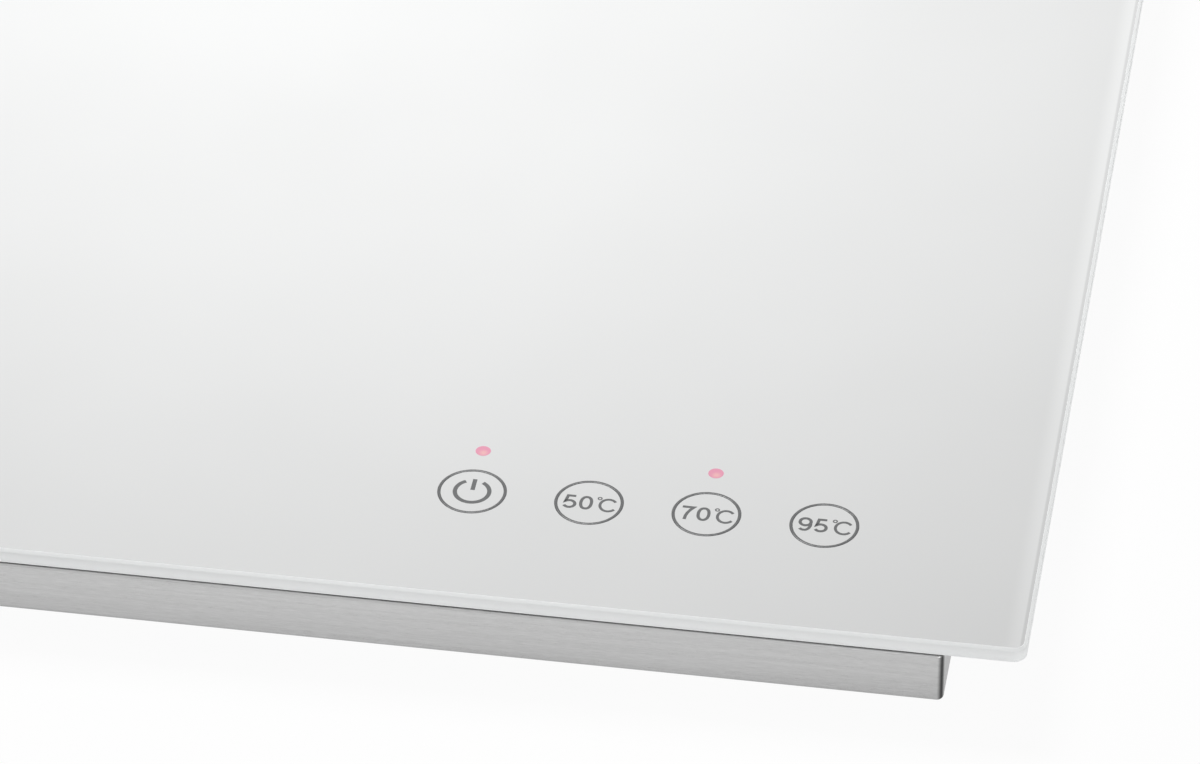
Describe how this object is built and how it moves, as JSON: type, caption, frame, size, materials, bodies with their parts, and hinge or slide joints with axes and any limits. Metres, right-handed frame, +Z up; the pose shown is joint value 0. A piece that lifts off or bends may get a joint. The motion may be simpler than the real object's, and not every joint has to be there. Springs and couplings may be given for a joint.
{
  "type": "electric food warmer tray",
  "caption": "Slim glass-topped electric warming tray with a folded steel casing, touch marks and lamps under the glass at the front right, and rubber feet.",
  "frame": {"origin": "on the table under the middle of the glass plate", "axes": "+X to the right seen from the front, +Y to the back, +Z up; the touch marks are at the front right"},
  "size_m": [0.6, 0.4, 0.0305],
  "materials": {
    "white_glass": "glossy back-printed white",
    "casing_steel": "brushed lengthwise",
    "plain_steel": "zinc-plated satin",
    "silicone": "matt",
    "foot_rubber": "matt",
    "cable_silicone": "satin",
    "lead_sleeve": "satin",
    "aluminium": "satin",
    "fibre_mat": "matt",
    "black_nylon": "matt",
    "white_moulding": "matt",
    "circuit_board": "satin",
    "component_black": "matt",
    "component_yellow": "gloss",
    "lamp_lens": "gloss",
    "terminal_green": "satin",
    "ferrite": "matt",
    "steatite": "matt",
    "plated_brass": "satin",
    "spring_steel": "bright",
    "fuse_glass": "clear"
  },
  "bodies": {
    "tray": {"base_plate": "plain_steel", "base_screws": "plain_steel", "board_carrier": "white_moulding", "board_standoffs": "white_moulding", "bulk_capacitor": "aluminium", "cable_foil": "aluminium", "control_triac": "component_black", "cord_gland": "black_nylon", "cutout_bracket": "plain_steel", "cutout_cap": "aluminium", "cutout_case": "steatite", "cutout_disc": "spring_steel", "cutout_guide": "steatite", "cutout_leads": "lead_sleeve", "cutout_terminals": "plated_brass", "earth_nut": "plain_steel", "earth_stud": "plain_steel", "filter_capacitor": "component_yellow", "foot_front_left": "foot_rubber", "foot_front_right": "foot_rubber", "foot_nuts": "plain_steel", "foot_rear_left": "foot_rubber", "foot_rear_right": "foot_rubber", "foot_screws": "plain_steel", "fuse_clip": "plain_steel", "fuse_holder": "plated_brass", "gland_nut": "black_nylon", "glass_seal": "silicone", "glass_top": "white_glass", "heat_barrier": "plain_steel", "heat_spreader": "aluminium", "heater_crimps": "plated_brass", "heater_leads": "lead_sleeve", "heating_cable": "cable_silicone", "housing": "casing_steel", "indicator_lamps": "lamp_lens", "insulation_mat": "fibre_mat", "lamp_shroud": "white_moulding", "mains_fuse": "fuse_glass", "power_board": "circuit_board", "power_board_screws": "plain_steel", "power_plug": "white_moulding", "sensor_lead": "lead_sleeve", "signal_lead": "lead_sleeve", "stud_nuts": "plain_steel", "temperature_sensor": "aluminium", "terminal_block": "terminal_green", "terminal_screws": "plain_steel", "thermal_fuse": "aluminium", "touch_board": "circuit_board", "touch_board_screws": "plain_steel", "touch_chip": "component_black", "touch_plugs": "white_moulding", "touch_springs": "spring_steel", "transformer_bobbin": "component_yellow", "transformer_core": "ferrite", "triac_heatsink": "aluminium", "weld_studs": "plain_steel"},
    "cutout_pin": {"cutout_pin": "steatite"},
    "cutout_arm": {"cutout_arm": "plated_brass"}
  },
  "joints": [
    {"name": "cutout_pin_slide", "type": "slide", "parent": "tray", "child": "cutout_pin", "axis": [0, 0, -1], "range_m": [0, 0.0005], "stiffness_N_per_m": 200, "springref_m": -0.001},
    {"name": "cutout_arm_hinge", "type": "hinge", "parent": "tray", "child": "cutout_arm", "pos_m": [0.0565, 0.034, 0.01975], "axis": [0, 1, 0], "range_deg": [0, 8.2]}
  ],
  "couplings": [
    {"joint": "cutout_arm_hinge", "follows": "cutout_pin_slide", "rad_per_m": 285.71}
  ]
}
